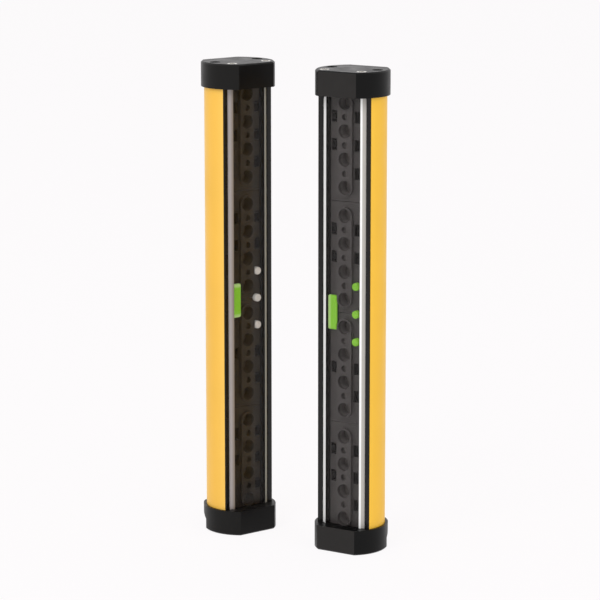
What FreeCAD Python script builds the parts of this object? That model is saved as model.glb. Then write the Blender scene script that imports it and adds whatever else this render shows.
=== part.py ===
import FreeCAD, Part
import os
import Sketcher

# Safety light curtain: an emitter column and a receiver column, 160 mm protected height.
# Each column is built upright in its own frame: X across the front, -Y out of the
# window, Z up from the foot. The pair stands turned in towards each other.

os.makedirs("parts", exist_ok=True)
doc = FreeCAD.newDocument("SafetyLightCurtain")
sheet = doc.addObject("Spreadsheet::Sheet", "dims")

DIMENSIONS = {
    # pair layout
    "pair_turn": 35, "pair_side": 19.7, "pair_step": 13.95,
    # outline shared by both end caps and the housing
    "overall_height": 173, "cap_height": 9, "cap_overhang": 1.1, "cap_edge": 0.5,
    "flank_offset": 1, "body_flank_radius": 13, "body_back": 10, "housing_front": 5.45,
    "wall": 1.5, "body_gap": 0.1, "socket_depth": 1, "socket_ease": 0.8,
    "gasket_thick": 0.4, "gasket_inset": 0.5,
    # window channel of the housing
    "ledge_half": 7.3, "ledge_front": 3.85, "ledge_back": 2.65, "channel_inset": 2.05,
    # screw ports and cap screws
    "port_inset": 2.65, "port_set_back": 1.05, "port_radius": 2.2, "port_bore": 1.25,
    "screw_shank": 1.2, "screw_hole": 1.4, "screw_head": 1.85, "screw_head_height": 1.8,
    "screw_sink": 2, "screw_sink_depth": 4, "screw_length": 10, "driver_slot": 0.5,
    "driver_depth": 0.8,
    # threaded bracket inserts in the caps
    "insert_side": 7.5, "insert_front": 6.7, "insert_radius": 1.75, "insert_bore": 1.025,
    "insert_length": 5,
    # hollow in each cap
    "cap_floor": 2.2, "hollow_half": 5.4, "hollow_front": 4.4, "hollow_back": 2.6,
    # rear relief and cable inlet of the bottom cap
    "relief_back": 4.1, "relief_low": 3.9, "relief_angle": 27.86,
    "inlet_back": 7, "inlet_radius": 2.5, "inlet_bore": 1.9, "inlet_flange": 2.85,
    "inlet_flange_thick": 0.5, "inlet_sleeve": 2,
    # clear window
    "pane_half": 6.97, "pane_front": 6.45, "pane_back": 5.75, "pane_inner": 6.9,
    "bevel_inset": 3.24, "bevel_front": 5.25, "rail_inner": 7.2, "rail_shoulder": 5.3,
    "flange_inset": 2.5, "flange_front": 4.75,
    # retaining strips
    "strip_inner_inset": 3.1, "strip_stem_inset": 2.15, "strip_outer_inset": 1.28,
    "strip_lip": 5.6, "strip_ridge": 5.8, "ridge_inner_inset": 2.65, "ridge_outer_inset": 1.6,
    "ridge_slope": 0.2,
    # optic carriers
    "first_beam": 11.5, "module_end": 8.5,
    "module_gap": 0.1, "plate_half": 6.3, "plate_back": 1.6, "plate_front": 4.2,
    "wing_half": 8.6, "wing_thick": 1, "ridge_radius": 3, "ridge_front": 5.55,
    "lens_bore": 2.5, "lens_seat": 0, "tube_radius": 3.2, "tube_back": 1.6,
    "light_bore": 1.8, "locating_bore": 1.15, "locating_depth": 1.8,
    "clip_height": 4.2, "clip_depth": 2, "clip_left_in": 3.4, "clip_left_out": 6,
    "clip_right_in": 3.3, "clip_right_out": 6.3, "hook_height": 2, "hook_width": 1.2,
    "hook_drop": 0.5,
    # lenses and diodes
    "lens_radius": 2.45, "lens_thick": 1.3, "lens_crown": 1.6,
    "diode_half": 1.6, "diode_thick": 1.2,
    # circuit board and its parts
    "board_half": 6.4, "board_front": 3, "board_thick": 1, "board_end": 9.5,
    "chip_width": 6, "chip_height": 8, "chip_thick": 1.2, "processor_side": 9,
    "processor_thick": 1.4, "terminal_width": 9, "terminal_height": 5,
    "terminal_thick": 3.6, "led_side": 1.6, "led_thick": 0.7,
    # status bar and round indicators
    "bar_inner": 3.05, "bar_outer": 6.75, "bar_height": 12.5, "bar_front": 5.7,
    "stem_inner": 4.2, "stem_outer": 5.6, "stem_height": 9, "guide_back": 2.1,
    "light_side": 4.6, "light_radius": 1.4, "light_gap": 0.1,
}
for row, (alias, value) in enumerate(DIMENSIONS.items(), start=1):
    sheet.set(f"A{row}", alias)
    sheet.set(f"B{row}", str(value))
    sheet.setAlias(f"B{row}", alias)
doc.recompute()

MIDDLE = "dims.overall_height / 2"
CAP_BASE = "(dims.overall_height - dims.cap_height)"
BODY_LOW = "(dims.cap_height - dims.socket_depth + dims.gasket_thick)"
BODY_LENGTH = f"(dims.overall_height - 2 * {BODY_LOW})"
BEAMS_PER_MODULE = 4
MODULES = 4
BEAM_PITCH = f"((dims.overall_height - 2 * dims.first_beam) / {MODULES * BEAMS_PER_MODULE - 1})"
SIDE = "(dims.body_flank_radius - dims.flank_offset)"
PORT_SIDE = f"({SIDE} - dims.port_inset)"
CAP_RADIUS = "(dims.body_flank_radius + dims.cap_overhang)"
CAP_DEPTH = "(dims.body_back + dims.cap_overhang)"
BEYOND = "(2 * dims.body_flank_radius)"
LEFT, RIGHT = -1, 1
nodes = []


def place(obj, x="0", y="0", z="0"):
    """Bind an object's position, given in the column's own frame."""
    for axis, text in zip("xyz", (x, y, z)):
        obj.setExpression(f"Placement.Base.{axis}", text)
    return obj


def box(x0, x1, y0, y1, z0, z1):
    obj = doc.addObject("Part::Box", "Block")
    for name, low, high in (("Length", x0, x1), ("Width", y0, y1), ("Height", z0, z1)):
        obj.setExpression(name, f"({high}) - ({low})")
    return place(obj, x0, y0, z0)


def cylinder(radius, height, x="0", y="0", z="0"):
    obj = doc.addObject("Part::Cylinder", "Round")
    obj.setExpression("Radius", radius)
    obj.setExpression("Height", height)
    return place(obj, x, y, z)


def outward(obj):
    """Turn an upright cylinder or cone so that it points out of the window."""
    obj.Placement.Rotation = FreeCAD.Rotation(FreeCAD.Vector(1, 0, 0), 90)
    return obj


def inlet_tilt(obj):
    """Turn an upright solid square to the sloping rear face of the bottom cap."""
    obj.Placement.Rotation = FreeCAD.Rotation(FreeCAD.Vector(1, 0, 0), 1)
    obj.setExpression("Placement.Rotation.Angle", "dims.relief_angle")
    return obj


def combine(kind, shapes):
    obj = doc.addObject(kind, kind.split("::")[1])
    if kind == "Part::Compound":
        obj.Links = shapes
    else:
        obj.Shapes = shapes
    return obj


def cut(base, tools):
    obj = doc.addObject("Part::Cut", "Cut")
    obj.Base = base
    obj.Tool = tools[0] if len(tools) == 1 else combine("Part::MultiFuse", tools)
    return obj


def outline(radius, front, back, low, high):
    """Flat front and back with bulging flanks, between two heights."""
    depth = box(f"-{BEYOND}", BEYOND, f"-({front})", back, low, high)
    flanks = [cylinder(radius, f"({high}) - ({low})", f"{side} * dims.flank_offset", "0", low)
              for side in (LEFT, RIGHT)]
    return combine("Part::MultiCommon", [depth] + flanks)


def node(label, obj, column):
    """Stand a finished piece in its column and keep it as a named node."""
    obj.Label = f"{column['name']}_{label}"
    turn = FreeCAD.Placement(FreeCAD.Vector(), FreeCAD.Rotation(FreeCAD.Vector(0, 0, 1), 1))
    obj.Placement = turn
    sign = column["sign"]
    obj.setExpression("Placement.Base.x", f"{-sign} * dims.pair_side")
    obj.setExpression("Placement.Base.y", f"{sign} * dims.pair_step")
    obj.setExpression("Placement.Rotation.Angle", f"{sign} * dims.pair_turn")
    nodes.append(obj)
    return obj


class Carver:
    """A PartDesign body built from sketches on its own origin planes."""

    def __init__(self, name):
        self.body = doc.addObject("PartDesign::Body", name)

    def sketch(self, role, offset):
        plane = next(o for o in self.body.Origin.OriginFeatures if o.Role == role)
        sk = self.body.newObject("Sketcher::SketchObject", "Sketch")
        sk.AttachmentSupport = [(plane, "")]
        sk.MapMode = "FlatFace"
        sk.setExpression("AttachmentOffset.Base.z", offset)
        return sk

    def pad(self, sk, length):
        feature = self.body.newObject("PartDesign::Pad", "Pad")
        feature.Profile = sk
        feature.setExpression("Length", length)
        self.body.Tip = feature
        return feature

    def pocket(self, sk, depth):
        feature = self.body.newObject("PartDesign::Pocket", "Pocket")
        feature.Profile = sk
        feature.setExpression("Length", depth)
        self.body.Tip = feature
        return feature

    def repeat(self, features, sk, pitch, count):
        pattern = self.body.newObject("PartDesign::LinearPattern", "Row")
        pattern.Originals = features
        pattern.Direction = (sk, ["V_Axis"])
        pattern.Occurrences = count
        pattern.setExpression("Length", f"({pitch}) * {count - 1}")
        self.body.Tip = pattern
        return pattern


def polygon(sk, corners, guess):
    """Closed outline; every corner is bound, and guess gives the starting figures."""
    points = [FreeCAD.Vector(x, y, 0) for x, y in guess]
    first = sk.GeometryCount
    count = len(points)
    for i in range(count):
        sk.addGeometry(Part.LineSegment(points[i], points[(i + 1) % count]), False)
    for i in range(count):
        following = first + (i + 1) % count
        sk.addConstraint(Sketcher.Constraint("Coincident", first + i, 2, following, 1))
    for i, (x, y) in enumerate(corners):
        for kind, text, start in (("DistanceX", x, guess[i][0]), ("DistanceY", y, guess[i][1])):
            index = sk.addConstraint(Sketcher.Constraint(kind, first + i, 1, float(start)))
            sk.setExpression(f"Constraints[{index}]", text)


def value(text):
    """Present figure of a dimension expression, used as a sketch's starting point."""
    return float(sheet.evalExpression(text.replace("dims.", "")))


def corners_of(points):
    return points, [(value(x), value(y)) for x, y in points]


def rectangle(sk, x0, x1, y0, y1):
    polygon(sk, *corners_of([(x0, y0), (x1, y0), (x1, y1), (x0, y1)]))


def circle(sk, x, y, radius):
    centre = FreeCAD.Vector(value(x), value(y), 0)
    index = sk.addGeometry(Part.Circle(centre, FreeCAD.Vector(0, 0, 1), value(radius)), False)
    for kind, text in (("DistanceX", x), ("DistanceY", y)):
        number = sk.addConstraint(Sketcher.Constraint(kind, index, 3, value(text)))
        sk.setExpression(f"Constraints[{number}]", text)
    number = sk.addConstraint(Sketcher.Constraint("Radius", index, value(radius)))
    sk.setExpression(f"Constraints[{number}]", radius)


def prism(name, half_profile, low, length, mirrored=True):
    """Straight extrusion along Z from a profile of (across, forward) corners."""
    corners = [(x, f"-({forward})") for x, forward in half_profile]
    if mirrored:
        corners += [(f"-({x})", y) for x, y in reversed(corners)]
    carver = Carver(name)
    sk = carver.sketch("XY_Plane", low)
    polygon(sk, *corners_of(corners))
    carver.pad(sk, length)
    return carver.body


def housing():
    """Extruded shell: two bulging flanks, a flat back, ledges for the window and ports."""
    low, high = BODY_LOW, f"({BODY_LOW} + {BODY_LENGTH})"
    shell = outline("dims.body_flank_radius", "dims.housing_front", "dims.body_back", low, high)
    inside = outline("dims.body_flank_radius - dims.wall", "dims.ledge_back",
                     "dims.body_back - dims.wall", low, high)
    gap = box("-dims.ledge_half", "dims.ledge_half", "-dims.housing_front - 1",
              "-dims.ledge_back + 0.5", low, high)
    channel = box(f"dims.channel_inset - {SIDE}", f"{SIDE} - dims.channel_inset", "-dims.housing_front - 1",
                  "-dims.ledge_front", low, high)
    open_shell = cut(shell, [inside, gap, channel])
    sides = [f"{side} * {PORT_SIDE}" for side in (LEFT, RIGHT)]
    ports = [cylinder("dims.port_radius", BODY_LENGTH, x, "dims.port_set_back", low)
             for x in sides]
    bores = [cylinder("dims.port_bore", BODY_LENGTH, x, "dims.port_set_back", low)
             for x in sides]
    return cut(combine("Part::MultiFuse", [open_shell] + ports), bores)


def window():
    """Clear extrusion: flat pane, bevelled shoulders and two rails with side flanges."""
    bevel, flange = f"{SIDE} - dims.bevel_inset", f"{SIDE} - dims.flange_inset"
    profile = [("dims.pane_half", "dims.pane_front"), (bevel, "dims.bevel_front"),
               (bevel, "dims.flange_front"), (flange, "dims.flange_front"),
               (flange, "dims.ledge_front"), ("dims.rail_inner", "dims.ledge_front"),
               ("dims.rail_inner", "dims.rail_shoulder"), ("dims.pane_inner", "dims.pane_back")]
    return prism("Window", profile, BODY_LOW, BODY_LENGTH)


def strip(side):
    """Black strip that caps one flank's front edge and holds the window's flange down."""
    inner, stem, outer = (f"{SIDE} - dims.strip_{edge}_inset" for edge in ("inner", "stem", "outer"))
    ridge_in, ridge_out = (f"{SIDE} - dims.ridge_{edge}_inset" for edge in ("inner", "outer"))
    profile = [(inner, "dims.flange_front"), (stem, "dims.flange_front"),
               (stem, "dims.housing_front"), (outer, "dims.housing_front"),
               (outer, "dims.strip_lip"), (ridge_out, "dims.strip_ridge"),
               (ridge_in, "dims.strip_ridge"), (f"{ridge_in} - dims.ridge_slope", "dims.strip_lip"),
               (inner, "dims.strip_lip")]
    profile = [(f"{side} * ({x})", forward) for x, forward in profile]
    return prism("Strip", profile, BODY_LOW, BODY_LENGTH, mirrored=False)


def bevelled_rim(solid, level):
    """Break the outer edge of a cap all the way round its closed end."""
    doc.recompute()
    rim = [i for i, edge in enumerate(solid.Shape.Edges, start=1)
           if all(abs(v.Z - level) < 1e-6 for v in edge.Vertexes)]
    width = DIMENSIONS["cap_edge"]
    obj = doc.addObject("Part::Chamfer", "Chamfer")
    obj.Base = solid
    obj.Edges = [(i, width, width) for i in rim]
    return obj


def end_cap(is_top):
    """Moulded cap: shallow socket for the column's end, hollow, screw and insert holes."""
    if is_top:
        low, high, level = CAP_BASE, "dims.overall_height", DIMENSIONS["overall_height"]
        socket_low, socket_high = low, f"{CAP_BASE} + dims.socket_depth"
        hollow_low, hollow_high = low, "dims.overall_height - dims.cap_floor"
    else:
        low, high, level = "0", "dims.cap_height", 0
        socket_low, socket_high = "dims.cap_height - dims.socket_depth", high
        hollow_low, hollow_high = "dims.cap_floor", high
    blank = bevelled_rim(outline(CAP_RADIUS, CAP_DEPTH, CAP_DEPTH, low, high), level)
    gap = "dims.body_gap"
    tools = [outline(f"dims.body_flank_radius + {gap}", f"dims.strip_ridge + {gap}",
                     f"dims.body_back + {gap}", socket_low, socket_high),
             box("-dims.pane_half - dims.socket_ease", "dims.pane_half + dims.socket_ease",
                 f"-dims.pane_front - {gap}", "0", socket_low, socket_high),
             box("-dims.hollow_half", "dims.hollow_half", "-dims.hollow_front",
                 "dims.hollow_back", hollow_low, hollow_high)]
    end = "dims.overall_height" if is_top else "0"
    for side in (LEFT, RIGHT):
        x = f"{side} * {PORT_SIDE}"
        tools.append(cylinder("dims.screw_hole", "dims.cap_height", x, "dims.port_set_back", low))
        tools.append(cylinder("dims.screw_sink", "dims.screw_sink_depth", x,
                              "dims.port_set_back",
                              f"{end} - dims.screw_sink_depth" if is_top else end))
        tools.append(cylinder("dims.insert_radius", "dims.insert_length",
                              f"{side} * dims.insert_side", "-dims.insert_front",
                              f"{end} - dims.insert_length" if is_top else end))
    if not is_top:
        tools += cable_relief()
    return cut(blank, tools)


def inlet_point(distance):
    """Point on the cable inlet's axis, measured inwards from the sloping face."""
    rise = "dims.relief_low + (dims.inlet_back - dims.relief_back) * tan(dims.relief_angle)"
    return (f"dims.inlet_back - ({distance}) * sin(dims.relief_angle)",
            f"{rise} + ({distance}) * cos(dims.relief_angle)")


def cable_relief():
    """Rear underside cut away on a slope, with the round cable inlet square to it."""
    low = box(f"-{BEYOND}", BEYOND, "dims.relief_back", BEYOND, "-dims.relief_low",
              "dims.relief_low")
    slope = doc.addObject("Part::Box", "Slope")
    slope.setExpression("Length", f"2 * {BEYOND}")
    slope.setExpression("Width", BEYOND)
    slope.setExpression("Height", "dims.cap_height")
    inlet_tilt(slope)
    place(slope, f"-{BEYOND}", "dims.relief_back + dims.cap_height * sin(dims.relief_angle)",
          "dims.relief_low - dims.cap_height * cos(dims.relief_angle)")
    y, z = inlet_point("-1")
    bore = inlet_tilt(cylinder("dims.inlet_radius", "6", "0", y, z))
    return [low, slope, bore]


def gasket(low):
    """Soft ring between a cap and the housing's end, open in the middle."""
    high = f"{low} + dims.gasket_thick"
    ring = outline("dims.body_flank_radius", "dims.housing_front", "dims.body_back", low, high)
    inside = outline("dims.body_flank_radius - dims.wall - dims.gasket_inset", "dims.housing_front + 1",
                     "dims.body_back - dims.wall", low, high)
    gap = box("-dims.ledge_half", "dims.ledge_half", "-dims.housing_front - 1", "0", low, high)
    sides = [f"{side} * {PORT_SIDE}" for side in (LEFT, RIGHT)]
    ears = [cylinder("dims.port_radius", "dims.gasket_thick", x, "dims.port_set_back", low)
            for x in sides]
    holes = [cylinder("dims.screw_hole", "dims.gasket_thick", x, "dims.port_set_back", low)
             for x in sides]
    return cut(combine("Part::MultiFuse", [cut(ring, [inside, gap])] + ears), holes)


def cap_screws(is_top):
    """Two slotted screws down their sunk holes into the housing's ports."""
    screws = []
    for side in (LEFT, RIGHT):
        x, y = f"{side} * {PORT_SIDE}", "dims.port_set_back"
        if is_top:
            seat = "(dims.overall_height - dims.screw_sink_depth)"
            head_low, shank_low = seat, f"{seat} - dims.screw_length"
            slot_low = f"{seat} + dims.screw_head_height - dims.driver_depth"
            slot_high = f"{seat} + dims.screw_head_height + 1"
        else:
            seat = "dims.screw_sink_depth"
            head_low, shank_low = f"{seat} - dims.screw_head_height", seat
            slot_low = f"{seat} - dims.screw_head_height - 1"
            slot_high = f"{seat} - dims.screw_head_height + dims.driver_depth"
        head = cylinder("dims.screw_head", "dims.screw_head_height", x, y, head_low)
        shank = cylinder("dims.screw_shank", "dims.screw_length", x, y, shank_low)
        slot = box(f"{x} - dims.driver_slot / 2", f"{x} + dims.driver_slot / 2",
                   f"{y} - 3", f"{y} + 3", slot_low, slot_high)
        screws.append(cut(combine("Part::MultiFuse", [head, shank]), [slot]))
    return combine("Part::Compound", screws)


def bracket_inserts(is_top):
    """Two threaded bushes set flush in a cap's outer face, for a mounting bracket."""
    low = "dims.overall_height - dims.insert_length" if is_top else "0"
    bushes = []
    for side in (LEFT, RIGHT):
        at = (f"{side} * dims.insert_side", "-dims.insert_front", low)
        bushes.append(cut(cylinder("dims.insert_radius", "dims.insert_length", *at),
                          [cylinder("dims.insert_bore", "dims.insert_length", *at)]))
    return combine("Part::Compound", bushes)


def cable_grommet():
    """Rubber bush in the cable inlet, with a flange on the sloping face."""
    y, z = inlet_point("-dims.inlet_flange_thick")
    flange = inlet_tilt(cylinder("dims.inlet_flange", "dims.inlet_flange_thick", "0", y, z))
    y, z = inlet_point("0")
    sleeve = inlet_tilt(cylinder("dims.inlet_radius - 0.02", "dims.inlet_sleeve", "0", y, z))
    y, z = inlet_point("-2")
    bore = inlet_tilt(cylinder("dims.inlet_bore", "6", "0", y, z))
    return cut(combine("Part::MultiFuse", [flange, sleeve]), [bore])


def beam_height(index):
    return f"(dims.first_beam + {index} * {BEAM_PITCH})"


def carrier(number):
    """Moulded optic carrier for four beams.

    A flat plate with side wings slides under the housing's ledges. A raised pill-shaped
    ridge stands round the four lens bores, with a locating hole between each two. Clip
    windows with hooks flank the ridge, and light tubes run back from the lenses.
    """
    lowest = number * BEAMS_PER_MODULE
    low = f"(dims.first_beam + ({lowest} - 0.5) * {BEAM_PITCH} + dims.module_gap)"
    high = f"({low} + {BEAMS_PER_MODULE} * {BEAM_PITCH} - 2 * dims.module_gap)"
    if number == 0:
        low = "dims.module_end"
    if number == MODULES - 1:
        high = "(dims.overall_height - dims.module_end)"
    first, last = beam_height(lowest), beam_height(lowest + BEAMS_PER_MODULE - 1)
    carver = Carver("Carrier")

    sk = carver.sketch("XZ_Plane", "dims.plate_back")
    rectangle(sk, "-dims.plate_half", "dims.plate_half", low, high)
    carver.pad(sk, "dims.plate_front - dims.plate_back")
    sk = carver.sketch("XZ_Plane", "dims.plate_back")
    rectangle(sk, "-dims.wing_half", "dims.wing_half", low, high)
    carver.pad(sk, "dims.wing_thick")

    ridge = carver.sketch("XZ_Plane", "dims.plate_front - 0.5")
    pill(ridge, first, last, "dims.ridge_radius")
    carver.pad(ridge, "dims.ridge_front - dims.plate_front + 0.5")

    tube = carver.sketch("XZ_Plane", "-dims.tube_back")
    circle(tube, "0", first, "dims.tube_radius")
    tube_pad = carver.pad(tube, "dims.tube_back + dims.plate_back + 0.5")
    carver.repeat([tube_pad], tube, BEAM_PITCH, BEAMS_PER_MODULE)

    bore = carver.sketch("XZ_Plane", "dims.ridge_front")
    circle(bore, "0", first, "dims.lens_bore")
    bore_cut = carver.pocket(bore, "dims.ridge_front - dims.lens_seat")
    carver.repeat([bore_cut], bore, BEAM_PITCH, BEAMS_PER_MODULE)
    light = carver.sketch("XZ_Plane", "dims.ridge_front")
    circle(light, "0", first, "dims.light_bore")
    light_cut = carver.pocket(light, "dims.ridge_front + dims.tube_back + 1")
    carver.repeat([light_cut], light, BEAM_PITCH, BEAMS_PER_MODULE)

    locate = carver.sketch("XZ_Plane", "dims.ridge_front")
    circle(locate, "0", f"{first} + {BEAM_PITCH} / 2", "dims.locating_bore")
    locate_cut = carver.pocket(locate, "dims.locating_depth")
    carver.repeat([locate_cut], locate, BEAM_PITCH, BEAMS_PER_MODULE - 1)

    windows = carver.sketch("XZ_Plane", "dims.plate_front")
    hooks = carver.sketch("XZ_Plane", "dims.plate_front - dims.clip_depth - 0.2")
    for step in range(BEAMS_PER_MODULE - 1):
        at = f"({first} + {step + 0.5} * {BEAM_PITCH})"
        by_light = (number, step) in ((1, 2), (2, 0))
        if step > 0 and (number, step) != (1, 2):
            clip(windows, hooks, at, "-dims.clip_left_out", "-dims.clip_left_in", LEFT)
        if not by_light:
            clip(windows, hooks, at, "dims.clip_right_in", "dims.clip_right_out", RIGHT)
    carver.pocket(windows, "dims.clip_depth")
    carver.pad(hooks, "dims.clip_depth + 0.2 - dims.hook_drop")

    if number in (1, 2):
        seats = carver.sketch("XZ_Plane", "dims.plate_front")
        rectangle(seats, "-dims.stem_outer - dims.light_gap", "-dims.stem_inner + dims.light_gap",
                  f"{MIDDLE} - dims.stem_height / 2 - dims.light_gap",
                  f"{MIDDLE} + dims.stem_height / 2 + dims.light_gap")
        own = -1 if number == 1 else 1
        for step in (0, own):
            circle(seats, "dims.light_side", f"({MIDDLE} + {step} * {BEAM_PITCH})",
                   "dims.light_radius + dims.light_gap")
        carver.pocket(seats, "dims.plate_front - dims.plate_back + 1")
    return carver.body


def pill(sk, low, high, radius):
    """Slot outline with round ends about two heights on the centre line."""
    r, z0, z1 = value(radius), value(low), value(high)
    up = FreeCAD.Vector(0, 0, 1)
    pi = 3.141592653589793
    sk.addGeometry(Part.ArcOfCircle(Part.Circle(FreeCAD.Vector(0, z1, 0), up, r), 0, pi), False)
    sk.addGeometry(Part.LineSegment(FreeCAD.Vector(-r, z1, 0), FreeCAD.Vector(-r, z0, 0)), False)
    sk.addGeometry(Part.ArcOfCircle(Part.Circle(FreeCAD.Vector(0, z0, 0), up, r), pi, 2 * pi),
                   False)
    sk.addGeometry(Part.LineSegment(FreeCAD.Vector(r, z0, 0), FreeCAD.Vector(r, z1, 0)), False)
    for a, b in ((0, 1), (1, 2), (2, 3), (3, 0)):
        sk.addConstraint(Sketcher.Constraint("Tangent", a, 2, b, 1))
    for index, height in ((0, high), (2, low)):
        sk.addConstraint(Sketcher.Constraint("PointOnObject", index, 3, -2))
        number = sk.addConstraint(Sketcher.Constraint("DistanceY", index, 3, value(height)))
        sk.setExpression(f"Constraints[{number}]", height)
    sk.addConstraint(Sketcher.Constraint("Vertical", 1))
    number = sk.addConstraint(Sketcher.Constraint("Radius", 0, r))
    sk.setExpression(f"Constraints[{number}]", radius)


def clip(windows, hooks, at, inner, outer, side):
    """One clip window in the plate and the hook that stands at its outer end."""
    half = "dims.clip_height / 2"
    rectangle(windows, inner, outer, f"{at} - {half}", f"{at} + {half}")
    far = outer if side == RIGHT else inner
    rectangle(hooks, f"{far} - dims.hook_width" if side == RIGHT else far,
              far if side == RIGHT else f"{far} + dims.hook_width",
              f"{at} - dims.hook_height / 2", f"{at} + dims.hook_height / 2")


def lenses():
    """Sixteen lenses with sloping edges, one on the shoulder of each bore."""
    pieces = []
    for index in range(MODULES * BEAMS_PER_MODULE):
        lens = doc.addObject("Part::Cone", "Lens")
        lens.setExpression("Radius1", "dims.lens_radius")
        lens.setExpression("Radius2", "dims.lens_crown")
        lens.setExpression("Height", "dims.lens_thick")
        pieces.append(place(outward(lens), "0", "-dims.lens_seat", beam_height(index)))
    return combine("Part::Compound", pieces)


def diodes():
    """Sixteen square diodes on the board's front, each on one beam's axis."""
    half = "dims.diode_half"
    return combine("Part::Compound", [
        box(f"-{half}", half, "dims.board_front - dims.diode_thick", "dims.board_front",
            f"{z} - {half}", f"{z} + {half}")
        for z in map(beam_height, range(MODULES * BEAMS_PER_MODULE))])


def board():
    profile = [("dims.board_half", "-dims.board_front"),
               ("dims.board_half", "-dims.board_front - dims.board_thick")]
    return prism("Board", profile, "dims.board_end", "dims.overall_height - 2 * dims.board_end")


def on_board_back(width, height, thick, heights):
    """Components on the board's rear face, one centred at each height."""
    face = "dims.board_front + dims.board_thick"
    return combine("Part::Compound", [
        box(f"-{width} / 2", f"{width} / 2", face, f"{face} + {thick}",
            f"{z} - {height} / 2", f"{z} + {height} / 2") for z in heights])


def beam_chips():
    """One driver or amplifier chip behind each module."""
    heights = [f"({beam_height(n * BEAMS_PER_MODULE)} + 1.5 * {BEAM_PITCH})"
               for n in range(MODULES)]
    return on_board_back("dims.chip_width", "dims.chip_height", "dims.chip_thick", heights)


def status_bar():
    """Light bar: a diffuser block on the carriers and a stem back to its lamps."""
    head = box("-dims.bar_outer", "-dims.bar_inner", "-dims.bar_front", "-dims.plate_front",
               f"{MIDDLE} - dims.bar_height / 2", f"{MIDDLE} + dims.bar_height / 2")
    stem = box("-dims.stem_outer", "-dims.stem_inner", "-dims.plate_front", "dims.guide_back",
               f"{MIDDLE} - dims.stem_height / 2", f"{MIDDLE} + dims.stem_height / 2")
    return combine("Part::MultiFuse", [head, stem])


def round_lights():
    """Three round light guides from the board to just behind the window."""
    return combine("Part::Compound", [
        outward(cylinder("dims.light_radius", "dims.bar_front + dims.guide_back",
                         "dims.light_side", "dims.guide_back",
                         f"{MIDDLE} + {step} * {BEAM_PITCH}")) for step in (-1, 0, 1)])


def status_lamps():
    """Small lamps on the board: one under each round guide and three under the bar."""
    spots = [("dims.light_side", f"({MIDDLE} + {step} * {BEAM_PITCH})") for step in (-1, 0, 1)]
    bar_x = "(-(dims.stem_inner + dims.stem_outer) / 2)"
    spots += [(bar_x, f"({MIDDLE} + {step} * 3)") for step in (-1, 0, 1)]
    half = "dims.led_side / 2"
    return combine("Part::Compound", [
        box(f"{x} - {half}", f"{x} + {half}", "dims.board_front - dims.led_thick",
            "dims.board_front", f"{z} - {half}", f"{z} + {half}") for x, z in spots])


COLUMNS = [{"name": "emitter", "sign": 1, "diodes": "infrared_diodes", "chips": "driver_chips"},
           {"name": "receiver", "sign": -1, "diodes": "photodiodes", "chips": "amplifier_chips"}]

for column in COLUMNS:
    node("housing", housing(), column)
    node("window", window(), column)
    node("left_strip", strip(LEFT), column)
    node("right_strip", strip(RIGHT), column)
    node("top_cap", end_cap(True), column)
    node("bottom_cap", end_cap(False), column)
    node("top_gasket", gasket(f"({BODY_LOW} + {BODY_LENGTH})"), column)
    node("bottom_gasket", gasket("(dims.cap_height - dims.socket_depth)"), column)
    node("top_cap_screws", cap_screws(True), column)
    node("bottom_cap_screws", cap_screws(False), column)
    node("top_bracket_inserts", bracket_inserts(True), column)
    node("bottom_bracket_inserts", bracket_inserts(False), column)
    node("cable_grommet", cable_grommet(), column)
    for number in range(MODULES):
        node(f"optic_carrier_{number + 1}", carrier(number), column)
    node("lenses", lenses(), column)
    node(column["diodes"], diodes(), column)
    node("circuit_board", board(), column)
    node(column["chips"], beam_chips(), column)
    node("processor", on_board_back("dims.processor_side", "dims.processor_side",
                                    "dims.processor_thick", [f"({MIDDLE})"]), column)
    node("cable_terminal", on_board_back("dims.terminal_width", "dims.terminal_height",
                                         "dims.terminal_thick", ["(dims.board_end + 4)"]), column)
    node("status_bar", status_bar(), column)
    node("round_indicators", round_lights(), column)
    node("status_lamps", status_lamps(), column)

doc.recompute()

for obj in doc.Objects:
    for state in ("Invalid", "Error"):
        if state in obj.State:
            raise RuntimeError(f"{obj.Name} ({obj.Label}) is {state}")
for obj in nodes:
    shape = obj.Shape
    if shape.isNull() or not shape.isValid() or not shape.Solids:
        raise RuntimeError(f"{obj.Label} has no valid solid")
    shape.exportStep(f"parts/{obj.Label}.step")
print(f"{len(nodes)} nodes written")
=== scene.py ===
import math

import bmesh
import bpy
from mathutils import Matrix, Vector


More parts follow.
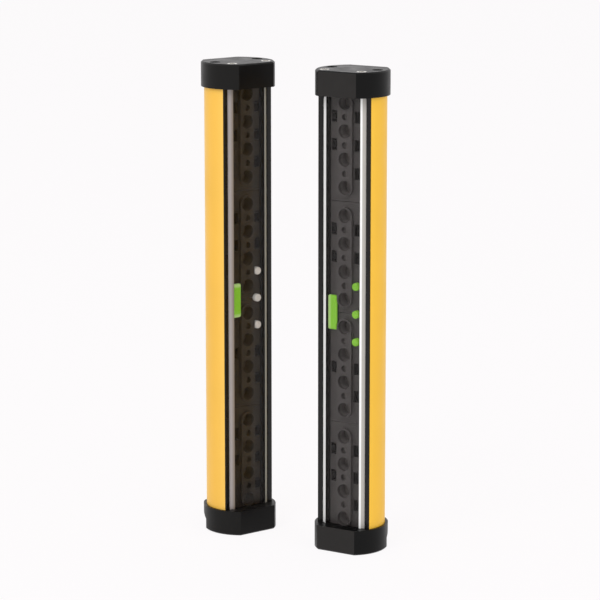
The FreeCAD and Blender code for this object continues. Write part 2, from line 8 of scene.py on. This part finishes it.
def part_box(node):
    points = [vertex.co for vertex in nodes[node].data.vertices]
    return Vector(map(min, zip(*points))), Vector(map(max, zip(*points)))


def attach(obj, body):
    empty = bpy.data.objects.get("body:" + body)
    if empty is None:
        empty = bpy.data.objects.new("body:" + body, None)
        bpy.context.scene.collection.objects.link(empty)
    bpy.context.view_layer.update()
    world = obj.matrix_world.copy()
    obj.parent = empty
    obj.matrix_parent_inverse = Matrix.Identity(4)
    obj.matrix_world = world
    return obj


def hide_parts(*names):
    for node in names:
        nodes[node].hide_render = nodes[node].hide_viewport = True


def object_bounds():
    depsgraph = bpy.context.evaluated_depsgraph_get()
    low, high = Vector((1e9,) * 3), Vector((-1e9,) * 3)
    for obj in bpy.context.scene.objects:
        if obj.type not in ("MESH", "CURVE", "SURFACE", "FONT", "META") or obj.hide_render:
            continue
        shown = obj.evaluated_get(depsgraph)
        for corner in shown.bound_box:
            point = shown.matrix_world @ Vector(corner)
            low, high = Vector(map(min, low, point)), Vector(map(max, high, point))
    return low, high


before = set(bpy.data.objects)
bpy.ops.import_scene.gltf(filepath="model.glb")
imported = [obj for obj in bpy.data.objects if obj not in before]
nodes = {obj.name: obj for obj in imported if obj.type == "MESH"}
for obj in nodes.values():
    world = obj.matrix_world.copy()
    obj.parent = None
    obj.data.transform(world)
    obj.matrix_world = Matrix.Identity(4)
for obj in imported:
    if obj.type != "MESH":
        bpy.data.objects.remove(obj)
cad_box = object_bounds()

# Looks of a safety light curtain: an emitter and a receiver column on a pale floor.
# Lengths are in metres; MM turns a figure in millimetres into metres.
MM = 0.001

# ---- the two columns -------------------------------------------------------------

PAIR_TURN = 35            # degrees that each column is turned in, towards the other
BOARD_MIDDLE = 3.5 * MM   # circuit board's middle, behind the column's axis


class Column:
    """One column's name and its own frame: X across, -Y out of the window, Z up."""

    def __init__(self, name, turn, diodes, chips):
        self.name, self.diodes, self.chips = name, diodes, chips
        low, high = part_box(f"{name}_circuit_board")
        turned = Matrix.Rotation(math.radians(turn), 4, "Z")
        foot = (low + high) / 2 - turned @ Vector((0, BOARD_MIDDLE, 0))
        foot.z = 0
        self.place = Matrix.Translation(foot) @ turned
        self.foot, self.turn = foot, math.radians(turn)
        self.middle = (low.z + high.z) / 2

    def node(self, part):
        return nodes[f"{self.name}_{part}"]

    def front(self, part):
        """Y of a node's foremost point in the column's frame, which is negative."""
        to_column = self.place.inverted()
        return min((to_column @ vert.co).y for vert in self.node(part).data.vertices)

    def span(self, part):
        """Lowest and highest point of a node."""
        low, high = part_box(f"{self.name}_{part}")
        return low.z, high.z


EMITTER = Column("emitter", PAIR_TURN, "infrared_diodes", "driver_chips")
RECEIVER = Column("receiver", -PAIR_TURN, "photodiodes", "amplifier_chips")

# ---- shader nodes ----------------------------------------------------------------

MIX_INPUTS, MIX_RESULT = (0, 6, 7), 2   # a Mix node's factor and two colours, and its result


def feed(source, socket):
    """Link a node's output to a socket, or give the socket a figure or a colour."""
    if isinstance(source, bpy.types.NodeSocket):
        socket.id_data.links.new(source, socket)
    else:
        socket.default_value = source


def add_node(tree, kind, **inputs):
    node = tree.nodes.new(kind)
    for name, source in inputs.items():
        feed(source, node.inputs[name])
    return node


def maths(tree, operation, *operands):
    """Output of a Math node; an operand is a figure or another node's output."""
    node = add_node(tree, "ShaderNodeMath")
    node.operation = operation
    for operand, socket in zip(operands, node.inputs):
        feed(operand, socket)
    return node.outputs[0]


# ---- materials -------------------------------------------------------------------


def linear(rgb):
    """Shader colour from the everyday 0 to 255 figures of a screen."""
    scaled = [c / 255 for c in rgb]
    return [c / 12.92 if c <= 0.04045 else ((c + 0.055) / 1.055) ** 2.4 for c in scaled] + [1]


def grey(level):
    return [level] * 3 + [1]


NOISE_LOW, NOISE_HIGH = 0.3, 0.7    # noise below the one and above the other is levelled off
GRAIN_DEPTH, GRAIN_DETAIL = 0.02 * MM, 2.0


class Surface:
    """A procedural material around one Principled shader."""

    def __init__(self, name, rgb, roughness, metallic=0.0, specular=0.5):
        self.mat = bpy.data.materials.new(name)
        self.mat.use_nodes = True
        self.tree = self.mat.node_tree
        self.shader = self.tree.nodes["Principled BSDF"]
        self.set("Base Color", linear(rgb)).set("Roughness", roughness)
        self.set("Metallic", metallic).set("Specular IOR Level", specular)

    def set(self, socket, source):
        """Give a socket of the shader a figure, a colour or a node's output."""
        feed(source, self.shader.inputs[socket])
        return self

    def place(self):
        """Where a point of the surface is, in the axes of its object."""
        return add_node(self.tree, "ShaderNodeTexCoord").outputs["Object"]

    def noise(self, scale, detail=3.0):
        return add_node(self.tree, "ShaderNodeTexNoise", Vector=self.place(), Scale=scale,
                        Detail=detail).outputs["Fac"]

    def own_axes(self):
        """Across, backward and up, for a piece that is built in its column's frame."""
        return add_node(self.tree, "ShaderNodeSeparateXYZ", Vector=self.place()).outputs

    def column_axes(self, column):
        """The same for a CAD node, which isn't in its column's frame."""
        turned = add_node(self.tree, "ShaderNodeMapping", Vector=self.place())
        turned.vector_type = "TEXTURE"
        feed(column.foot, turned.inputs["Location"])
        feed((0, 0, column.turn), turned.inputs["Rotation"])
        return add_node(self.tree, "ShaderNodeSeparateXYZ", Vector=turned.outputs["Vector"]).outputs

    def maths(self, operation, *operands):
        return maths(self.tree, operation, *operands)

    def steps(self, distance, stops):
        """Colour that changes along one axis; stops are (distance, screen colour)."""
        start, end = stops[0][0], stops[-1][0]
        span = add_node(self.tree, "ShaderNodeMapRange",
                        **{"Value": distance, "From Min": start, "From Max": end})
        ramp = add_node(self.tree, "ShaderNodeValToRGB", Fac=span.outputs["Result"])
        points = ramp.color_ramp.elements
        while len(points) < len(stops):
            points.new(0.5)   # the loop below moves it to its place
        for point, (place, rgb) in zip(points, stops):
            point.position = (place - start) / (end - start)
            point.color = linear(rgb)
        return ramp.outputs["Color"]

    def mix(self, blend, *sources):
        """Colour from a Mix node; the sources are its factor and its two colours."""
        node = add_node(self.tree, "ShaderNodeMix")
        node.data_type, node.blend_type = "RGBA", blend
        for source, socket in zip(sources, MIX_INPUTS):
            feed(source, node.inputs[socket])
        return node.outputs[MIX_RESULT]

    def either(self, factor, colour, rgb):
        """One colour where the factor is 0, a screen colour where it is 1."""
        return self.mix("MIX", factor, colour, linear(rgb))

    def varied(self, scale, low, high):
        """Slow variation between two colours."""
        ramp = add_node(self.tree, "ShaderNodeValToRGB", Fac=self.noise(scale))
        ends = (NOISE_LOW, low), (NOISE_HIGH, high)
        for point, (position, colour) in zip(ramp.color_ramp.elements, ends):
            point.position, point.color = position, colour
        return ramp.outputs["Color"]

    def mottled(self, colour, scale, amount):
        """Send a colour to the shader with slow variation multiplied in."""
        shade = self.varied(scale, grey(1 - amount), grey(1))
        return self.set("Base Color", self.mix("MULTIPLY", 1, colour, shade))

    def tint(self, scale, darker, lighter):
        """Slow variation of colour across the surface."""
        return self.set("Base Color", self.varied(scale, linear(darker), linear(lighter)))

    def patchy(self, scale, low, high):
        """Slow variation of gloss across the surface."""
        return self.set("Roughness", self.varied(scale, grey(low), grey(high)))

    def grain(self, scale, strength):
        """Fine moulded or sprayed texture."""
        bump = add_node(self.tree, "ShaderNodeBump", Strength=strength, Distance=GRAIN_DEPTH,
                        Height=self.noise(scale, GRAIN_DETAIL))
        return self.set("Normal", bump.outputs["Normal"])


CHANNEL_HALF = 10.05 * MM    # inside this, and in front of the axis, the window's channel is near-black
COAT_OUTER = 13.5 * MM       # the painted sheen is gone from here outwards, leaving the deepest yellow
CHANNEL_DARK = (16, 15, 15)
# each column's yellow beside the window, paled by a painted sheen, and its deepest yellow; the
# columns differ by painted light
YELLOWS_WITH_SHEEN = {"emitter": ((255, 206, 102), (252, 188, 48)),
           "receiver": ((252, 199, 68), (250, 192, 54))}


def powder_coat_with_sheen(column):
    """Yellow outside, with a painted sheen paling it towards the window; the window's channel is
    near-black.
    """
    pale, deep = YELLOWS_WITH_SHEEN[column.name]
    coat = Surface(f"{column.name}_powder_coat_with_sheen", deep, roughness=0.42, specular=0.3)
    axes = coat.column_axes(column)
    across = coat.maths("ABSOLUTE", axes["X"])
    inside = coat.maths("LESS_THAN", across, CHANNEL_HALF)
    front = coat.maths("LESS_THAN", axes["Y"], 0.0)
    dark_channel = coat.maths("MULTIPLY", inside, front)
    sheened_yellows = coat.steps(across, [(CHANNEL_HALF, pale), (COAT_OUTER, deep)])
    coat.mottled(coat.either(dark_channel, sheened_yellows, CHANNEL_DARK), 60, 0.04)
    return coat.patchy(90, 0.36, 0.48).grain(2600, 0.25)


# (flat front, flank) painted shades: one black moulding, lit differently on each face and on each
# column
CAP_PAINTED_SHADES = {"emitter": ((10, 9, 9), (22, 21, 20)), "receiver": ((42, 40, 39), (8, 8, 8))}
CREASE = 0.06 * MM           # the front face's painted shade ends this far behind it


def cap_moulding(column):
    """Black moulding; painted light and shade set the flat front face apart from the rounded flanks,
    differently on each column.
    """
    flat, flank = CAP_PAINTED_SHADES[column.name]
    moulding = Surface(f"{column.name}_cap_moulding", flank, roughness=0.34, specular=0.15)
    front = column.front("top_cap") + CREASE
    backward = moulding.column_axes(column)["Y"]
    painted_shades = moulding.steps(backward, [(front, flat), (front + CREASE, flank)])
    return moulding.mottled(painted_shades, 150, 0.12).patchy(220, 0.3, 0.42).grain(5200, 0.25)


def strip_moulding():
    moulding = Surface("black_strip", (12, 11, 10), roughness=0.26, specular=0.3)
    return moulding.patchy(180, 0.2, 0.32).grain(900, 0.1)


def seal_rubber():
    rubber = Surface("seal_rubber", (30, 30, 30), roughness=0.8)
    return rubber.tint(300, (26, 26, 26), (36, 36, 36))


def screw_steel():
    steel = Surface("blackened_steel", (34, 33, 32), roughness=0.45, metallic=1.0)
    return steel.patchy(700, 0.28, 0.45).grain(3000, 0.2)


def insert_metal():
    metal = Surface("bright_insert", (232, 229, 220), roughness=0.2, metallic=1.0)
    return metal.patchy(900, 0.16, 0.32)


# Y of a carrier's ridge, of its plate and of its bore walls, paler with a painted highlight
RIDGE, PLATE, BORE_WALL = -5.6 * MM, -4.1 * MM, -3.8 * MM
BORE_HALF = 3.2 * MM         # outside this are the clip windows and the sides
CLIP_BACK = 0.2 * MM         # which are painted black as shade this far behind the plate
# (ridge, plate, bore wall, clip window) colours with painted light and shade; the columns differ as
# their light does
CARRIER_PAINTED_SHADES = {"emitter": ((60, 53, 45), (58, 51, 43), (74, 65, 53), (7, 6, 4)),
                  "receiver": ((92, 87, 86), (90, 85, 84), (140, 133, 131), (7, 6, 6))}
# lens colours painted lighter to make up for the shade in the bores; the columns differ as their
# light does
LENS_PAINTED_SHADES = {"emitter": (96, 87, 75), "receiver": (124, 117, 114)}


def carrier_moulding(column):
    """Dark moulding with painted light: the bore walls are paler with a painted highlight, the clip
    windows and sides nearly black with painted shade.
    """
    ridge, plate, wall, black = CARRIER_PAINTED_SHADES[column.name]
    moulding = Surface(f"{column.name}_carrier", plate, roughness=0.4, specular=0.3)
    axes = moulding.column_axes(column)
    painted_shades = moulding.steps(axes["Y"], [(RIDGE, ridge), (PLATE, plate), (BORE_WALL, wall)])
    aside = moulding.maths("GREATER_THAN", moulding.maths("ABSOLUTE", axes["X"]), BORE_HALF)
    sunk = moulding.maths("GREATER_THAN", axes["Y"], PLATE + CLIP_BACK)
    shaded_clips = moulding.maths("MULTIPLY", aside, sunk)
    return moulding.mottled(moulding.either(shaded_clips, painted_shades, black), 240, 0.12).grain(4000, 0.2)


def lens_plastic(column):
    lens = Surface(f"{column.name}_filter_lens", LENS_PAINTED_SHADES[column.name], roughness=0.16)
    return lens.patchy(400, 0.1, 0.2)


def diode_black():
    return Surface("diode_black", (26, 24, 28), roughness=0.2).patchy(900, 0.15, 0.3)


def board_green():
    green = Surface("solder_mask", (22, 66, 44), roughness=0.35)
    return green.tint(500, (18, 58, 38), (27, 76, 50))


def chip_black():
    return Surface("chip_black", (32, 32, 34), roughness=0.5).grain(5000, 0.2)


def terminal_plastic():
    return Surface("terminal_plastic", (206, 204, 196), roughness=0.45).grain(2500, 0.15)


def lamp_white():
    return Surface("lamp_white", (232, 228, 206), roughness=0.4).patchy(1500, 0.3, 0.5)


BAR_LEFT, BAR_RIGHT = -6.75 * MM, -3.05 * MM
BAR_SIDE = -5.0 * MM         # a lit bar's sides are painted dark green shade behind this
RIM = 0.8 * MM               # width of the painted reflection, a paler rim, on a lit bar
LIT, PAINTED_RIM_SHINE, PAINTED_SIDE_SHADE = (142, 212, 50), (192, 228, 140), (14, 46, 10)
BAR_GLOW, GUIDE_GLOW, FAINT_PAINTED_GLOW = 0.3, 0.35, 0.12


def lit_bar(column):
    """Glowing face and sides in painted shade; a painted reflection pales the face at the emitter's
    ends and the receiver's left.
    """
    light = Surface(f"{column.name}_lit_bar", LIT, roughness=0.3)
    axes = light.own_axes()
    if column is EMITTER:
        along, (start, end), last = axes["Z"], column.span("status_bar"), PAINTED_RIM_SHINE
    else:
        along, (start, end), last = axes["X"], (BAR_LEFT, BAR_RIGHT), LIT
    face = light.steps(along, [(start, PAINTED_RIM_SHINE), (start + RIM, PAINTED_RIM_SHINE), (start + 2 * RIM, LIT),
                               (end - 2 * RIM, LIT), (end - RIM, last), (end, last)])
    painted_shades = light.either(light.maths("GREATER_THAN", axes["Y"], BAR_SIDE), face, PAINTED_SIDE_SHADE)
    light.mottled(painted_shades, 380, 0.08)
    return light.set("Emission Color", painted_shades).set("Emission Strength", BAR_GLOW)


def lit_guide():
    """Clear guide that glows from its own lamp."""
    lit = Surface("lit_guide", LIT, roughness=0.25).tint(500, (128, 196, 44), (150, 214, 66))
    return lit.set("Emission Color", linear(LIT)).set("Emission Strength", GUIDE_GLOW)


UNLIT = (240, 234, 228)


def unlit_guide():
    """White guide, though unlit; a faint painted glow keeps it white behind the tinted window."""
    unlit = Surface("unlit_guide", UNLIT, roughness=0.25)
    unlit.set("Emission Color", linear(UNLIT)).set("Emission Strength", FAINT_PAINTED_GLOW)
    return unlit.tint(700, (232, 226, 220), (248, 243, 238))


PANE_TINT = 0.16             # share of the pane's own colour over what is behind it


def clear_pane():
    pane = Surface("clear_pane", (46, 42, 40), roughness=0.04).set("Alpha", PANE_TINT)
    return pane.patchy(35, 0.03, 0.07)


# across the window: a shoulder's outer edge, where the painted reflection on the emitter's left
# one begins to turn brown, and its inner edge
OUTER, BROWN_START, INNER = 8.76 * MM, 8.0 * MM, 6.97 * MM
WHITE_END, GREY_START = 7.5 * MM, 7.7 * MM   # where the painted reflection on the receiver's right shoulder turns grey
# painted reflections on the clear shoulders, different on the two columns
WHITE_SHINE, GREY_SHINE = (255, 254, 253), (188, 184, 178)
DIM_SHINE, BROWN_SHINE, FAR_SHINE = (168, 159, 157), (120, 104, 86), (176, 175, 167)
PAINTED_SHINES = {
    "emitter": ("grey_painted_shine", [(-OUTER, DIM_SHINE), (-BROWN_START, DIM_SHINE),
                                  (-INNER, BROWN_SHINE), (INNER, FAR_SHINE),
                                  (OUTER, FAR_SHINE)]),
    "receiver": ("white_painted_shine", [(-OUTER, WHITE_SHINE), (INNER, WHITE_SHINE),
                                    (WHITE_END, WHITE_SHINE), (GREY_START, GREY_SHINE),
                                    (OUTER, GREY_SHINE)])}


def painted_shoulder_shine(column):
    """Painted reflection on the bevelled shoulders, from the left one's outer edge to the right
    one's.
    """
    name, stops = PAINTED_SHINES[column.name]
    shoulder = Surface(name, stops[0][1], roughness=0.2, specular=0.6)
    return shoulder.mottled(shoulder.steps(shoulder.own_axes()["X"], stops), 45, 0.04)


def for_both(make):
    """A finish for each column, by the column's name."""
    return {column.name: make(column) for column in (EMITTER, RECEIVER)}


class Finish:
    """Every finish, made once; those in the last two lines are by column name."""

    strip, rubber = strip_moulding(), seal_rubber()
    steel, insert = screw_steel(), insert_metal()
    diode, lamp, pane = diode_black(), lamp_white(), clear_pane()
    board, chip, terminal = board_green(), chip_black(), terminal_plastic()
    clear, glowing = unlit_guide(), lit_guide()
    cap, yellow, carrier = for_both(cap_moulding), for_both(powder_coat_with_sheen), for_both(carrier_moulding)
    lens, bar, shoulder = for_both(lens_plastic), for_both(lit_bar), for_both(painted_shoulder_shine)


# ---- pieces that stand for plainer CAD nodes -------------------------------------


def new_piece(name, bm, column, surfaces, slot, *replaced):
    """Object in its column's frame, made from a bmesh, which it frees."""
    mesh = bpy.data.meshes.new(name)
    bmesh.ops.recalc_face_normals(bm, faces=bm.faces)
    bm.to_mesh(mesh)
    bm.free()
    obj = bpy.data.objects.new(name, mesh)
    bpy.context.scene.collection.objects.link(obj)
    obj.matrix_world = column.place
    for surface in surfaces:
        mesh.materials.append(surface.mat)
    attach(obj, "root")
    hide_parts(*replaced)
    return obj


# (across, Y) corners of one half of the window, from the front face round to the back
WINDOW_HALF = [(INNER, -6.45 * MM), (OUTER, -5.25 * MM), (OUTER, -4.75 * MM), (9.5 * MM, -4.75 * MM),
               (9.5 * MM, -3.85 * MM), (7.2 * MM, -3.85 * MM), (7.2 * MM, -5.3 * MM),
               (6.9 * MM, -5.75 * MM)]
CLEAR, SHOULDER_SHINE = 0, 1         # places of the pane and of the shoulders' painted reflection in a window's materials


def window(column):
    """Clear extrusion whose bevelled shoulders carry a painted reflection."""
    ring = WINDOW_HALF + [(-x, y) for x, y in reversed(WINDOW_HALF)]
    bm = bmesh.new()
    ends = [[bm.verts.new((x, y, z)) for x, y in ring] for z in column.span("window")]
    for end in ends:
        bm.faces.new(end)
    count = len(ring)
    for i in range(count):
        j = (i + 1) % count
        side = bm.faces.new((ends[0][i], ends[0][j], ends[1][j], ends[1][i]))
        side.material_index = SHOULDER_SHINE if i in (0, count - 2) else CLEAR
    surfaces = (Finish.pane, Finish.shoulder[column.name])
    return new_piece(f"{column.name}_window_pane", bm, column, surfaces, "smoked_window",
                     f"{column.name}_window")


ROUND_STEPS = 40


def spin(bm, profile, x, z):
    """Turned solid on an axis out of the window, from (radius, forward) points."""
    rings = []
    for radius, forward in profile:
        if radius == 0:
            rings.append([bm.verts.new((x, -forward, z))])
            continue
        angles = [2 * math.pi * k / ROUND_STEPS for k in range(ROUND_STEPS)]
        rings.append([bm.verts.new((x + radius * math.cos(a), -forward, z + radius * math.sin(a)))
                      for a in angles])
    for a, b in zip(rings, rings[1:]):
        for k in range(ROUND_STEPS):
            following = (k + 1) % ROUND_STEPS
            corners = [a[k % len(a)], a[following % len(a)], b[following % len(b)], b[k % len(b)]]
            unique = list(dict.fromkeys(corners))
            bm.faces.new(unique).smooth = True


BEAM_COUNT = 16
LENS_RADIUS = 2.45 * MM
LENS_RIM, LENS_CROWN = 0.6 * MM, 1.3 * MM       # forward of the column's axis
DOME_STEPS = 7


def lens_row(column):
    """Sixteen domed lenses, evenly spaced between the first and the last bore."""
    low, high = column.span("lenses")
    first, last = low + LENS_RADIUS, high - LENS_RADIUS
    pitch = (last - first) / (BEAM_COUNT - 1)
    dome = [(LENS_RADIUS * math.cos(t), LENS_RIM + (LENS_CROWN - LENS_RIM) * math.sin(t))
            for t in (math.pi / 2 * k / DOME_STEPS for k in range(DOME_STEPS))]
    profile = [(0, 0), (LENS_RADIUS, 0)] + dome + [(0, LENS_CROWN)]
    bm = bmesh.new()
    for index in range(BEAM_COUNT):
        spin(bm, profile, 0, first + index * pitch)
    return new_piece(f"{column.name}_lens_row", bm, column, [Finish.lens[column.name]],
                     "lens_plastic", f"{column.name}_lenses")


LIGHT_SIDE, LIGHT_PITCH = 4.6 * MM, 10 * MM
LIGHT_RADIUS, LIGHT_EDGE = 1.4 * MM, 0.35 * MM
LIGHT_FRONT, LIGHT_BACK = 5.7 * MM, -2.1 * MM   # forward of the column's axis
EDGE_STEPS = 5


def round_lights(column, surface):
    """Three light guides with rounded ends."""
    edge = [(LIGHT_RADIUS - LIGHT_EDGE * (1 - math.cos(t)),
             LIGHT_FRONT - LIGHT_EDGE * (1 - math.sin(t)))
            for t in (math.pi / 2 * k / EDGE_STEPS for k in range(EDGE_STEPS + 1))]
    profile = [(0, LIGHT_BACK), (LIGHT_RADIUS, LIGHT_BACK)] + edge + [(0, LIGHT_FRONT)]
    bm = bmesh.new()
    for step in (-1, 0, 1):
        spin(bm, profile, LIGHT_SIDE, column.middle + step * LIGHT_PITCH)
    return new_piece(f"{column.name}_round_lights", bm, column, [surface],
                     "green_light" if surface is Finish.glowing else "clear_guide",
                     f"{column.name}_round_indicators")


BAR_FRONT, BAR_BACK = 5.7 * MM, 4.2 * MM        # forward of the column's axis, as STEM_BACK is
BAR_ROUND, BAR_SEGMENTS = 0.7 * MM, 4
STEM_LEFT, STEM_RIGHT = -5.6 * MM, -4.2 * MM
STEM_BACK, STEM_INSET = -2.1 * MM, 1.75 * MM    # the stem is shorter by the inset at each end


def block(bm, x0, x1, front, back, z0, z1):
    """Closed block between two sides, two distances forward and two heights."""
    size = Vector((x1 - x0, front - back, z1 - z0))
    centre = Vector(((x0 + x1) / 2, -(front + back) / 2, (z0 + z1) / 2))
    for vert in bmesh.ops.create_cube(bm, size=1)["verts"]:
        vert.co = Vector(a * b for a, b in zip(vert.co, size)) + centre


def status_bar(column):
    """Diffuser with rounded edges, on a stem that runs back to its lamps."""
    low, high = column.span("status_bar")
    bm = bmesh.new()
    block(bm, BAR_LEFT, BAR_RIGHT, BAR_FRONT, BAR_BACK, low, high)
    # the front face's edges, and the four that run back from its corners
    edges = [edge for edge in bm.edges
             if all(-v.co.y > BAR_BACK + BAR_ROUND for v in edge.verts)
             or abs(edge.verts[0].co.y - edge.verts[1].co.y) > BAR_ROUND]
    bmesh.ops.bevel(bm, geom=edges, offset=BAR_ROUND, segments=BAR_SEGMENTS, affect="EDGES",
                    profile=0.5)
    block(bm, STEM_LEFT, STEM_RIGHT, BAR_BACK, STEM_BACK, low + STEM_INSET, high - STEM_INSET)
    return new_piece(f"{column.name}_light_bar", bm, column, [Finish.bar[column.name]],
                     "green_light", f"{column.name}_status_bar")


# ---- the columns -----------------------------------------------------------------

STRIPS = ("left_strip", "right_strip")
THIN_EDGE, EDGE_SEGMENTS = 0.1 * MM, 2
SHARP = 35                   # degrees; a strip's edges that turn less than this stay
CARRIERS = [f"optic_carrier_{number}" for number in (1, 2, 3, 4)]


def dress(obj, surface):
    """Give a CAD node its finish in place of the plain one that it came with."""
    obj.data.materials.clear()
    obj.data.materials.append(surface.mat)


def soften(obj):
    """Break the sharp edges that a moulded piece never has."""
    bevel = obj.modifiers.new("Edges", "BEVEL")
    bevel.width, bevel.segments = THIN_EDGE, EDGE_SEGMENTS
    bevel.limit_method, bevel.angle_limit = "ANGLE", math.radians(SHARP)


def dress_column(column, round_finish):
    """Finishes for the CAD nodes, and the four finer pieces."""
    finishes = [(Finish.cap[column.name], "top_cap", "bottom_cap"),
                (Finish.yellow[column.name], "housing"),
                (Finish.strip, *STRIPS),
                (Finish.rubber, "top_gasket", "bottom_gasket", "cable_grommet"),
                (Finish.steel, "top_cap_screws", "bottom_cap_screws"),
                (Finish.insert, "top_bracket_inserts", "bottom_bracket_inserts"),
                (Finish.carrier[column.name], *CARRIERS),
                (Finish.diode, column.diodes),
                (Finish.board, "circuit_board"),
                (Finish.chip, column.chips, "processor"),
                (Finish.terminal, "cable_terminal"),
                (Finish.lamp, "status_lamps")]
    for surface, *parts in finishes:
        for part in parts:
            dress(column.node(part), surface)
    for part in STRIPS:
        soften(column.node(part))
    status_bar(column)
    window(column)
    lens_row(column)
    round_lights(column, round_finish)


dress_column(EMITTER, Finish.clear)
dress_column(RECEIVER, Finish.glowing)

# ---- floor, light and camera -----------------------------------------------------

BACKGROUND = (0.993, 0.975, 0.984, 1)
FLOOR_SIZE, SOFT_WHITE = 8.0, 0.96
WHITE_SHARE = 0.93           # the rest of the floor's look is its own shaded colour
ROOM_LEVEL = 0.62


def seen_directly(tree):
    """1 for rays from the camera, off gloss or through glass; 0 for the light on things."""
    path = add_node(tree, "ShaderNodeLightPath").outputs
    gloss_or_glass = maths(tree, "MAXIMUM", path["Is Glossy Ray"], path["Is Transmission Ray"])
    return maths(tree, "MAXIMUM", path["Is Camera Ray"], gloss_or_glass)


def send_out(tree, output, factor, lighting, seen):
    """One shader for the light on things and another for what is seen directly."""
    mix = add_node(tree, "ShaderNodeMixShader", Fac=factor)
    feed(lighting.outputs[0], mix.inputs[1])
    feed(seen.outputs[0], mix.inputs[2])
    add_node(tree, output, Surface=mix.outputs[0])


def floor():
    """Pale floor that reads as white to the camera and still takes a faint shadow."""
    bpy.ops.mesh.primitive_plane_add(size=FLOOR_SIZE)
    plane = bpy.context.object
    plane.name = "floor"
    mat = bpy.data.materials.new("pale_floor")
    mat.use_nodes = True
    tree = mat.node_tree
    tree.nodes.clear()
    pale = add_node(tree, "ShaderNodeBsdfDiffuse", Color=grey(SOFT_WHITE))
    white = add_node(tree, "ShaderNodeEmission", Color=BACKGROUND)
    share = maths(tree, "MULTIPLY", seen_directly(tree), WHITE_SHARE)
    send_out(tree, "ShaderNodeOutputMaterial", share, pale, white)
    plane.data.materials.append(mat)


def studio_world():
    """White to the camera, to reflections and through glass; a softer room as light."""
    world = bpy.data.worlds.new("studio")
    bpy.context.scene.world = world
    world.use_nodes = True
    tree = world.node_tree
    tree.nodes.clear()
    room = add_node(tree, "ShaderNodeBackground", Color=grey(1), Strength=ROOM_LEVEL)
    plain = add_node(tree, "ShaderNodeBackground", Color=BACKGROUND)
    send_out(tree, "ShaderNodeOutputWorld", seen_directly(tree), room, plain)


# each soft box's place, width and watts
KEY = (-0.9, -1.3, 1.5), 1.2, 16
FILL = (1.2, -1.1, 0.9), 1.4, 7


def soft_box(name, target, place, size, watts):
    lamp = bpy.data.lights.new(name, "AREA")
    lamp.shape, lamp.size, lamp.energy = "SQUARE", size, watts
    obj = bpy.data.objects.new(name, lamp)
    bpy.context.scene.collection.objects.link(obj)
    obj.location = place
    obj.rotation_euler = (target - Vector(place)).to_track_quat("-Z", "Y").to_euler()
    return obj


CAMERA_AZIMUTH, CAMERA_ELEVATION = -3.045, 11.21   # degrees
CAMERA_DISTANCE = 0.997
FOCAL_LENGTH, SENSOR_WIDTH = 166.0, 36             # millimetres, as Blender takes them
CLIP_NEAR, CLIP_FAR = 0.05, 20
AIM_SIDE, AIM_RISE = 1.9 * MM, 1.4 * MM            # from the middle of the pair


def photo_camera(centre):
    camera = bpy.data.cameras.new("camera")
    camera.lens, camera.sensor_width = FOCAL_LENGTH, SENSOR_WIDTH
    camera.clip_start, camera.clip_end = CLIP_NEAR, CLIP_FAR
    obj = bpy.data.objects.new("camera", camera)
    bpy.context.scene.collection.objects.link(obj)
    a, e = math.radians(CAMERA_AZIMUTH), math.radians(CAMERA_ELEVATION)
    back = Vector((math.sin(a) * math.cos(e), -math.cos(a) * math.cos(e), math.sin(e)))
    obj.location = centre + Vector((AIM_SIDE, 0, AIM_RISE)) + back * CAMERA_DISTANCE
    obj.rotation_euler = (-back).to_track_quat("-Z", "Y").to_euler()
    bpy.context.scene.camera = obj


middle = (cad_box[0] + cad_box[1]) / 2
floor()
studio_world()
soft_box("key", middle, *KEY)
soft_box("fill", middle, *FILL).visible_glossy = False
photo_camera(middle)
bpy.context.scene.view_settings.view_transform = "Standard"
